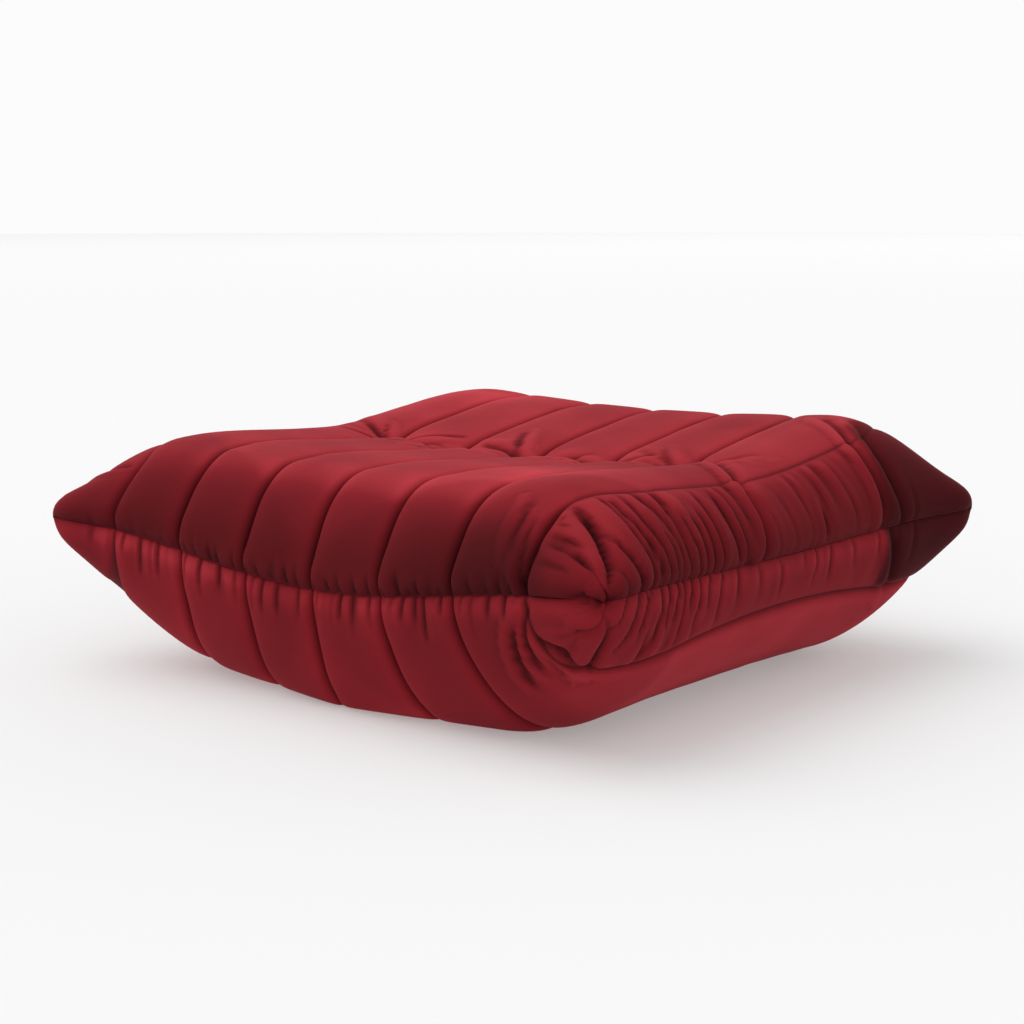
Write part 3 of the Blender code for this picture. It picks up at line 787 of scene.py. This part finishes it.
def finish(name, dark, light, cloud_scale, roughness, grain_scale, height, kind):
    """A finish whose colour and roughness vary by noise, with a fine bump of the given kind."""
    brushed = kind == "BRUSHED"
    made, tree, shader = new_material(
        name, light, roughness[1], Metallic=1.0 if brushed else 0.0, Sheen_Weight=SHEENS.get(name, 0.0)
    )
    link = tree.links.new
    where = tree.nodes.new("ShaderNodeTexCoord").outputs["Object"]
    mapping = add_node(tree, "ShaderNodeMapping", where, Scale=(1, 0.15, 1) if brushed else (1, 1, 1))
    cloud = add_node(tree, "ShaderNodeTexNoise", mapping.outputs[0], Scale=cloud_scale, Detail=5.0)
    colour = colour_ramp(tree, cloud.outputs["Fac"], (0.3, dark), (0.7, light))
    link(colour, shader.inputs["Base Color"])
    gloss = add_node(tree, "ShaderNodeMapRange", To_Min=roughness[0], To_Max=roughness[1])
    link(cloud.outputs["Fac"], gloss.inputs["Value"])
    link(gloss.outputs[0], shader.inputs["Roughness"])
    if kind == "CELLS":
        grain = add_node(tree, "ShaderNodeTexVoronoi", mapping.outputs[0], Scale=grain_scale)
    elif kind == "TWILL":
        grain = add_node(tree, "ShaderNodeTexWave", mapping.outputs[0], Scale=grain_scale, Distortion=0.4)
        grain.bands_direction = "DIAGONAL"
    else:
        grain = add_node(tree, "ShaderNodeTexNoise", mapping.outputs[0], Scale=grain_scale, Detail=3.0)
    add_bump(tree, shader, grain.outputs["Distance" if kind == "CELLS" else "Fac"], 0.6, height)
    return made


# ---- meshes


def add_object(name, data):
    made = bpy.data.objects.new(name, data)
    bpy.context.scene.collection.objects.link(made)
    return made


def mesh_object(name, points, faces, material, smooth=True):
    mesh = bpy.data.meshes.new(name)
    mesh.from_pydata(points, [], faces)
    if smooth:
        mesh.shade_smooth()
    mesh.materials.append(material)
    return add_object(name, mesh)


def bmesh_object(name, bm, material):
    mesh = bpy.data.meshes.new(name)
    bm.to_mesh(mesh)
    bm.free()
    mesh.materials.append(material)
    return add_object(name, mesh)


def grid_quads(rows, columns, close_rows=False, close_columns=False):
    """The quads between the points of a grid, which may close on itself either way."""
    number = np.arange(rows * columns).reshape(rows, columns)
    if close_columns:
        number = np.concatenate([number, number[:, :1]], 1)
    if close_rows:
        number = np.concatenate([number, number[:1]], 0)
    return np.stack([number[:-1, :-1], number[:-1, 1:], number[1:, 1:], number[1:, :-1]], -1)


def layer_faces(rows, columns, hole=None):
    """Quads of an outer grid, of the inner grid behind it, and of the walls along their borders."""
    quads = grid_quads(rows, columns)
    front = quads.reshape(-1, 4) if hole is None else quads[~hole]
    points = rows * columns
    edges = np.concatenate([front[:, [corner, (corner + 1) % 4]] for corner in range(4)])
    forward = edges[:, 0] * points + edges[:, 1]
    backward = edges[:, 1] * points + edges[:, 0]
    border = edges[~np.isin(forward, backward)]
    walls = np.stack([border[:, 1], border[:, 0], border[:, 0] + points, border[:, 1] + points], 1)
    return np.concatenate([front, front[:, ::-1] + points, walls])


def layer_object(name, outer, inner, material, upwards=True, hole=None):
    """A closed layer between two grids, and the numbers of the grids' points that it uses."""
    faces = layer_faces(*outer.shape[:2], hole)
    if not upwards:
        faces = faces[:, ::-1]
    points = np.concatenate([outer.reshape(-1, 3), inner.reshape(-1, 3)])
    used, renumbered = np.unique(faces, return_inverse=True)
    return mesh_object(name, points[used], renumbered.reshape(faces.shape), material), used


def slab(name, x, y, bottom, top, material):
    """A thin closed sheet over a grid of x and y, between two heights."""
    return layer_object(name, np.stack([x, y, top], -1), np.stack([x, y, bottom], -1), material)[0]


def tube(path, radius, sides=6, closed=False, lobes=0, lobe_depth=0.0, twist=0.0):
    """Points and quads of a tube along a path, its section round or, as in a twisted cord, lobed."""
    tangent = unit(np.roll(path, -1, 0) - np.roll(path, 1, 0) if closed else np.gradient(path, axis=0))
    helper = np.array([0.0, 0, 1]) if abs(tangent[:, 2]).max() < 0.9 else np.array([1.0, 0, 0])
    across = unit(np.cross(tangent, helper))
    upright = np.cross(across, tangent)
    turn = np.arange(sides) / sides * 2 * np.pi
    reach = radius * (1 + lobe_depth * np.cos(lobes * (turn[None] - twist * run_along(path)[:, None])))
    ring = across[:, None] * np.cos(turn)[None, :, None] + upright[:, None] * np.sin(turn)[None, :, None]
    points = path[:, None] + ring * reach[..., None]
    return points.reshape(-1, 3), grid_quads(len(path), sides, closed, True).reshape(-1, 4)[:, ::-1]


def tube_object(name, path, radius, material, sides=6, **shape):
    """A tube whose open ends are closed by a small fan of faces each."""
    points, quads = tube(path, radius, sides, **shape)
    faces = quads.tolist()
    if not shape.get("closed"):
        for first, flip in ((0, False), (len(path) * sides - sides, True)):
            ring = first + np.arange(sides)
            after = np.roll(ring, -1)
            pair = (after, ring) if flip else (ring, after)
            faces += np.stack([*pair, np.full(sides, len(points))], 1).tolist()
            points = np.concatenate([points, [points[ring].mean(0)]])
    return mesh_object(name, points, faces, material)


def stitches(name, centres, along, outward, length, radius, material):
    """Many short stitches of thread as one piece: each a small spindle on the cloth."""
    rings, sides = np.array([(-0.50, 0.35), (-0.30, 1.0), (0.30, 1.0), (0.50, 0.35)]), 5
    along = unit(along)
    aside = unit(np.cross(along, outward))
    up = np.cross(aside, along)
    turn = np.arange(sides) / sides * 2 * np.pi
    points = (
        centres[:, None, None]
        + along[:, None, None] * (rings[:, 0] * length)[None, :, None, None]
        + aside[:, None, None] * (rings[:, 1:] * radius * np.cos(turn))[None, ..., None]
        + up[:, None, None] * (rings[:, 1:] * radius * np.sin(turn))[None, ..., None]
    )
    size = len(rings) * sides
    quads = grid_quads(len(rings), sides, False, True).reshape(-1, 4)[:, [0, 3, 2, 1]]
    shape = [*quads, np.arange(sides), np.arange(size - 1, size - sides - 1, -1)]
    faces = [tuple(face + stitch * size) for stitch in range(len(centres)) for face in shape]
    return mesh_object(name, points.reshape(-1, 3), faces, material)


def paint(piece, values):
    shade = piece.data.attributes.new("pile_and_painted_shade", "FLOAT", "POINT")
    values = np.broadcast_to(values, len(piece.data.vertices))
    shade.data.foreach_set("value", values.astype(np.float32))


# ---- the base opening's outline


def opening_distance(points, grow):
    """Distance from the base opening's outline, below zero inside it, and the way out."""
    corner = OPENING_CORNER + grow
    flat = points[..., :2]
    over = abs(flat) - (OPENING_HALF_X, OPENING_HALF_Y) - grow + corner
    beyond = over.clip(0)
    distance = lengths(beyond) + np.minimum(over.max(-1), 0) - corner
    sideways = over[..., 0] > over[..., 1]
    straight = np.stack([sideways, ~sideways], -1).astype(float)
    way = np.where((over > 0).all(-1)[..., None], unit(beyond), straight)
    return distance, way * np.sign(flat)


def find_opening(points, grow):
    """The grid cells inside the base opening, and the points along their border."""
    inside = (opening_distance(points, grow)[0] < 0) & (points[..., 2] < BASE_BELOW)
    hole = inside[:-1, :-1] & inside[:-1, 1:] & inside[1:, 1:] & inside[1:, :-1]
    touched = np.zeros(inside.shape, int)
    for down in (0, 1):
        for right in (0, 1):
            touched[down:down + hole.shape[0], right:right + hole.shape[1]] += hole
    return hole, ((touched > 0) & (touched < 4)) | (inside & (touched == 0))


def fit_border(points, border, grow):
    """Moves the border points, and any point inside the opening, level with the floor on to its outline."""
    distance, way = opening_distance(points, grow)
    moved = points.copy()
    moved[..., :2] -= distance[..., None] * way * (border | (distance < 0))[..., None]
    return moved


def opening_outline(step=0.004):
    """Points round the base opening, and the outward way at each."""
    flat_x, flat_y = OPENING_HALF_X - OPENING_CORNER, OPENING_HALF_Y - OPENING_CORNER
    points, ways = [], []
    for quarter, (side_x, side_y) in enumerate(((1, 1), (-1, 1), (-1, -1), (1, -1))):
        turns = np.radians(90 * quarter + np.linspace(0, 90, 13))
        way = np.stack([np.cos(turns), np.sin(turns)], 1)
        arc = way * OPENING_CORNER + (side_x * flat_x, side_y * flat_y)
        length = 2 * (flat_y if quarter % 2 else flat_x)
        run = np.arange(step, length - step / 2, step)[:, None]
        ahead = np.array([-way[-1, 1], way[-1, 0]])
        points += [arc, arc[-1] + run * ahead]
        ways += [way, np.repeat(way[-1:], len(run), 0)]
    return np.concatenate(points), np.concatenate(ways)


# ---- the stage

STAGE_SIZE = 40.0
WALL_GLOW = 0.97
FLOOR_PALE = 0.70
FLOOR_GLOW = 0.27
SKY_GLOW = 0.60
KEY_TOWARDS = (-0.42, -0.30, 1.0)
KEY_STRENGTH = 1.05
KEY_SPREAD = 60

CAMERA_AZIMUTH = 39.2
CAMERA_ELEVATION = 9.96
CAMERA_DISTANCE = 2.5
CAMERA_TARGET = (0, 0, 0.15)
CAMERA_LENS = 68.03
CAMERA_SHIFT = (-0.0065, 0.0314)


def stage_material(name, grey, roughness, glow):
    return new_material(
        name, (grey, grey, grey), roughness,
        Specular_IOR_Level=0, Emission_Color=(1, 1, 1, 1), Emission_Strength=glow,
    )[0]


def build_stage():
    """A pale floor, a round wall far away that is as bright, an even sky and one soft key light."""
    bm = bmesh.new()
    bmesh.ops.create_grid(bm, x_segments=1, y_segments=1, size=STAGE_SIZE)
    floor = bmesh_object("floor", bm, stage_material("floor_pale", FLOOR_PALE, 0.95, FLOOR_GLOW))
    bm = bmesh.new()
    radius = STAGE_SIZE * 0.95
    bmesh.ops.create_cone(bm, segments=64, radius1=radius, radius2=radius, depth=STAGE_SIZE)
    wall = bmesh_object("backdrop", bm, stage_material("backdrop_pale", 0.0, 1.0, WALL_GLOW))
    world = bpy.data.worlds.new("studio")
    bpy.context.scene.world = world
    world.use_nodes = True
    set_inputs(world.node_tree.nodes["Background"], Color=(1, 1, 1, 1), Strength=SKY_GLOW)
    key = bpy.data.lights.new("key", "SUN")
    key.energy = KEY_STRENGTH
    key.angle = math.radians(KEY_SPREAD)
    add_object("key", key).rotation_euler = Vector(KEY_TOWARDS).to_track_quat("Z", "Y").to_euler()
    bpy.context.scene.view_settings.view_transform = "Standard"


def build_camera():
    azimuth, elevation = math.radians(CAMERA_AZIMUTH), math.radians(CAMERA_ELEVATION)
    level = math.cos(elevation)
    back = Vector((math.sin(azimuth) * level, -math.cos(azimuth) * level, math.sin(elevation)))
    data = bpy.data.cameras.new("camera")
    data.sensor_width = 36
    data.lens = CAMERA_LENS
    data.shift_x, data.shift_y = CAMERA_SHIFT
    camera = add_object("camera", data)
    camera.location = Vector(CAMERA_TARGET) + back * CAMERA_DISTANCE
    camera.rotation_euler = (-back).to_track_quat("-Z", "Y").to_euler()
    bpy.context.scene.camera = camera


# ---- the pieces


def add_piece(piece, slot, *nodes, fill=None):
    """Hands a finished piece to the frame: attaches it to the cushion's body and hides the nodes it stands
    for. The finish given as slot is not used.
    """
    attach(piece, "cushion")
    if nodes:
        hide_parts(*nodes)


def cloth_tree(cloths):
    """Both panels' outer surface, facing outwards, to measure from."""
    places, faces = [], []
    for panel, cloth in cloths.items():
        quads = grid_quads(*cloth.shape[:2]).reshape(-1, 4) + len(places)
        faces += (quads if panel == "upper" else quads[:, ::-1]).tolist()
        places += cloth.reshape(-1, 3).tolist()
    return BVHTree.FromPolygons(places, faces)


def keep_under(points, tree, depth):
    """Moves each point that lies less than a depth under the cloth in to that depth."""
    flat = points.reshape(-1, 3)
    for number, place in enumerate(flat.tolist()):
        near, normal, _, distance = tree.find_nearest(place)
        offset = Vector(place) - near
        inside = offset.dot(normal) < 0
        if not inside or distance < depth:
            inwards = offset.normalized() if inside and distance > 1e-5 else -normal
            flat[number] = near + inwards * depth
    return flat.reshape(points.shape)


def add_covers(forms, cloths, velvet):
    for panel, cloth in cloths.items():
        inner = cloth - blur(grid_normals(cloth, panel), 1) * VELVET
        # Painted light and shade for the velvet's colour.
        tone = pile_and_painted_shade(panel, forms[panel], cloth).ravel()
        hole = None
        if panel == "lower":
            hole, border = find_opening(cloth, 0.0)
            cloth, inner = fit_border(cloth, border, 0.0), fit_border(inner, border, 0.0)
        cover, used = layer_object(f"{panel}_velvet", cloth, inner, velvet, panel == "upper", hole)
        paint(cover, np.concatenate([tone, tone])[used])
        add_piece(cover, "velvet", f"{panel}_cover", fill=0.85)


def add_wadding(forms, cloths, tree, material):
    """A layer behind each cover, left out at the tips, where there is no room for it."""
    for panel, cloth in cloths.items():
        form = forms[panel]
        normals = blur(grid_normals(cloth, panel), 2)
        outer = keep_under(cloth - normals * WADDING_OUTSIDE, tree, WADDING_OUTSIDE)
        inner = settled(panel_points(panel, form["s"], form["t"], WADDING_INSIDE[panel])[0], panel)
        inner = keep_under(inner, tree, LEAST_WADDING)
        hole = np.zeros((outer.shape[0] - 1, outer.shape[1] - 1), bool)
        if panel == "lower":
            hole, border = find_opening(outer, WADDING_BACK)
            outer, inner = fit_border(outer, border, WADDING_BACK), fit_border(inner, border, WADDING_BACK)
        for sides in TIP_TUCK:
            hole |= lengths(form["crest"][1:, 1:] - ear_tip(*sides)) < BARE_TIP
        layer = layer_object(f"{panel}_wadding", outer, inner, material, panel == "upper", hole)[0]
        add_piece(layer, "wadding", f"{panel}_quilt_wadding", fill=0.7)


def settled_copy(node, name, tree, material, cuts, near=None):
    """A finer copy of a hidden soft node, moved as the tips and the tufts move it."""
    bm = bmesh.new()
    bm.from_mesh(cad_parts[node].data)
    edges = [edge for edge in bm.edges if near is None or near((edge.verts[0].co + edge.verts[1].co) / 2)]
    bmesh.ops.subdivide_edges(bm, edges=edges, cuts=cuts, use_grid_fill=True)
    bmesh.ops.triangulate(bm, faces=[face for face in bm.faces if len(face.verts) > 3])
    places = np.array([vert.co for vert in bm.verts])
    upper = places[:, 2] > 0.2
    moved = settled(places, "lower")
    moved[upper] = settled(places[upper], "upper")
    for side_x, side_y in TIP_TUCK:
        heart = np.array([side_x * TIP_HEART[0], side_y * TIP_HEART[1], TIP_HEART[2]])
        draw = 0.6 * bell(lengths(places - ear_tip(side_x, side_y)), TIP_DRAW)
        moved += (heart - moved) * draw[:, None]
    for vert, place in zip(bm.verts, keep_under(moved, tree, LEAST_FOAM)):
        vert.co = place
    return bmesh_object(name, bm, material)


def near_valley(place):
    return abs(place.y - TUFT_Y) < 0.12 and place.z > 0.2


def add_fillings(tree, finishes):
    seat = settled_copy("seat_foam", "tufted_seat_foam", tree, finishes["soft_foam"], 3, near_valley)
    add_piece(seat, "soft_foam", "seat_foam", fill=1.0)
    for corner in ("front_left", "front_right", "rear_left", "rear_right"):
        node = f"corner_fill_{corner}"
        fibre = settled_copy(node, f"corner_fibre_{corner}", tree, finishes["fibre"], 1)
        add_piece(fibre, "fibre", node, fill=0.6)


def add_quilting(forms, cloths, thread):
    """A row of stitches along every quilting seam of both panels, except where the object rests and opens."""
    centres, along, outward = [], [], []
    for panel, cloth in cloths.items():
        normals = blur(grid_normals(cloth, panel), 1)
        for column in seam_columns(forms[panel]["phase"]):
            line, out = cloth[3:-3, column], normals[3:-3, column]
            run = run_along(line)
            at = np.arange(STITCH_PITCH / 2, run[-1], STITCH_PITCH)
            place = np.stack([np.interp(at, run, line[:, axis]) for axis in range(3)], 1)
            normal = np.stack([np.interp(at, run, out[:, axis]) for axis in range(3)], 1)
            beyond_opening = (opening_distance(place, 0.002)[0] > 0) | (place[:, 2] > 0.05)
            clear = (place[:, 2] > 0.0015) & beyond_opening
            centres.append((place - normal * STITCH_RADIUS * 0.2)[clear])
            along.append(np.gradient(place, axis=0)[clear])
            outward.append(normal[clear])
    gathered = [np.concatenate(part) for part in (centres, along, outward)]
    piece = stitches("quilt_stitching", *gathered, STITCH_LENGTH, STITCH_RADIUS, thread)
    add_piece(piece, "velvet")


def add_tufts(cloth, finishes):
    """Each tuft: a twisted twine down to its anchor, and crossed stitches where it pulls the velvet in."""
    turns = np.radians((20, 80, 140))
    along = np.stack([np.cos(turns), np.sin(turns), 0 * turns], 1)
    outward = np.tile([0.0, 0, 1], (3, 1))
    for number in range(1, len(TUFT_DEPTHS) + 1):
        low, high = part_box(f"tuft_twine_{number}")
        x, y = (low.x + high.x) / 2, (low.y + high.y) / 2
        away = np.hypot(cloth[..., 0] - x, cloth[..., 1] - y)
        top = cloth[np.unravel_index(away.argmin(), away.shape)]
        path = np.array([(x, y, z) for z in np.linspace(low.z, top[2] - 2 * VELVET, 60)])
        twine = tube_object(f"tuft_cord_{number}", path, TWINE_RADIUS, finishes["twine"],
                            sides=12, lobes=3, lobe_depth=0.22, twist=900.0)
        add_piece(twine, "twine", f"tuft_twine_{number}")
        centres = np.tile(top, (3, 1)) + np.array([[0, 0, 0.0006 + 0.0005 * step] for step in range(3)])
        knot = stitches(f"tuft_knot_{number}", centres, along, outward, 0.010, 0.0007, finishes["thread"])
        add_piece(knot, "velvet")


def add_opening_edge(velvet):
    """A piped edge and a turned-in facing round the base opening."""
    outline, way = opening_outline()

    def ring(out, z):
        return np.concatenate([outline + way * out, np.full((len(outline), 1), z)], 1)

    piping = tube_object("opening_piping", ring(0, PIPING + 0.0004), PIPING, velvet, sides=10, closed=True)
    paint(piping, 0.8)
    add_piece(piping, "velvet")
    profile = ((0.0004, 0.0042), (0.0004, 0.0148), (0.0013, 0.0148), (0.0013, 0.0042))
    points = np.stack([ring(out, z) for out, z in profile], 1).reshape(-1, 3)
    quads = grid_quads(len(outline), len(profile), True, True).reshape(-1, 4)
    facing = mesh_object("opening_facing", points, quads, velvet, False)
    paint(facing, 0.75)
    add_piece(facing, "velvet")


def add_base_cloth(word, material):
    """One half of the base cloth, slightly uneven, with a hem beside the zip."""
    low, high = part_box(f"base_cloth_{word}")
    y, x = np.meshgrid(np.linspace(low.y, high.y, 161), np.linspace(low.x, high.x, 61), indexing="ij")
    sag = 0.00022 * (np.sin(y * 61 + x * 23) * np.sin(x * 97 - y * 17))
    hem = HEM * ramp(abs(x), min(abs(low.x), abs(high.x)) + 0.007, -0.002)
    bottom, top = low.z + 0.0004 + sag - hem, high.z - 0.0002 + sag
    cloth = slab(f"base_cloth_{word}_panel", x, y, bottom, top, material)
    add_piece(cloth, "base_cloth", f"base_cloth_{word}")


def add_zip_tape(word, material):
    """One tape of the zip, ribbed slantwise."""
    low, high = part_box(f"zip_tape_{word}")
    y, x = np.meshgrid(np.arange(low.y, high.y, TAPE_THREAD), np.linspace(low.x, high.x, 25), indexing="ij")
    rib = 0.00008 * np.sin(y / (4 * TAPE_THREAD) * 2 * np.pi + abs(x) * 2500)
    tape = slab(f"zip_tape_{word}_weave", x, y, low.z + 0.0001 + rib, high.z - 0.0001 + rib, material)
    add_piece(tape, "zip_tape", f"zip_tape_{word}")


def add_zip_coil(word, material):
    """One coil of the zip: the right one's turns lie half a pitch further, between the left one's."""
    low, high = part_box(f"zip_coil_{word}")
    middle = (low + high) / 2
    turns = (high.y - low.y) / ZIP_PITCH
    angle = np.linspace(0, turns * 2 * np.pi, int(turns * 12))
    reach_x, reach_z = (high.x - low.x) / 2 - 0.0003, (high.z - low.z) / 2 - 0.0003
    offset = 0 if word == "left" else ZIP_PITCH / 2
    path = np.stack([
        middle.x + reach_x * np.cos(angle),
        (low.y + (high.y - low.y - offset) * angle / angle[-1]) + offset,
        middle.z + reach_z * np.sin(angle),
    ], 1)
    coil = tube_object(f"zip_coil_{word}_turns", path, COIL_WIRE, material, sides=5)
    add_piece(coil, "zip_coil", f"zip_coil_{word}")


def add_zip_stitching(thread):
    """Two rows of stitches each side, which hold the tape to the base cloth."""
    low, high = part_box("zip_tape_right")
    y = np.arange(low.y + 0.004, high.y - 0.004, 0.0032)
    rows = [np.stack([0 * y + x, y, 0 * y + low.z], 1) for x in (-0.0135, -0.0105, 0.0105, 0.0135)]
    centres = np.concatenate(rows)
    along = np.tile([0.0, 1, 0], (len(centres), 1))
    outward = np.tile([0.0, 0, -1], (len(centres), 1))
    piece = stitches("zip_stitching", centres, along, outward, 0.0023, 0.00025, thread)
    add_piece(piece, "zip_tape")


def dress_nodes(finishes):
    """Gives each CAD node that stays its finished material."""
    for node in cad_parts.values():
        slot = node.data.materials[0].name.split(".")[0]
        if slot in finishes:
            node.data.materials[0] = finishes[slot]


build_camera()
build_stage()
velvet = velvet_material()
finishes = {name: finish(name, *values) for name, values in FINISHES.items()}
finishes["velvet"] = velvet
dress_nodes(finishes)
forms = {panel: build_panel(panel) for panel in ROUND}
join_rims(forms["upper"], forms["lower"])
cloths = {panel: limit_pressing(panel, form, settle_panel(panel, form)) for panel, form in forms.items()}
add_covers(forms, cloths, velvet)
tree = cloth_tree(cloths)
add_wadding(forms, cloths, tree, finishes["wadding"])
add_fillings(tree, finishes)
add_quilting(forms, cloths, finishes["thread"])
add_tufts(cloths["upper"], finishes)
add_opening_edge(velvet)
for word in ("left", "right"):
    add_base_cloth(word, finishes["base_cloth"])
    add_zip_tape(word, finishes["zip_tape"])
    add_zip_coil(word, finishes["zip_coil"])
add_zip_stitching(finishes["zip_tape"])
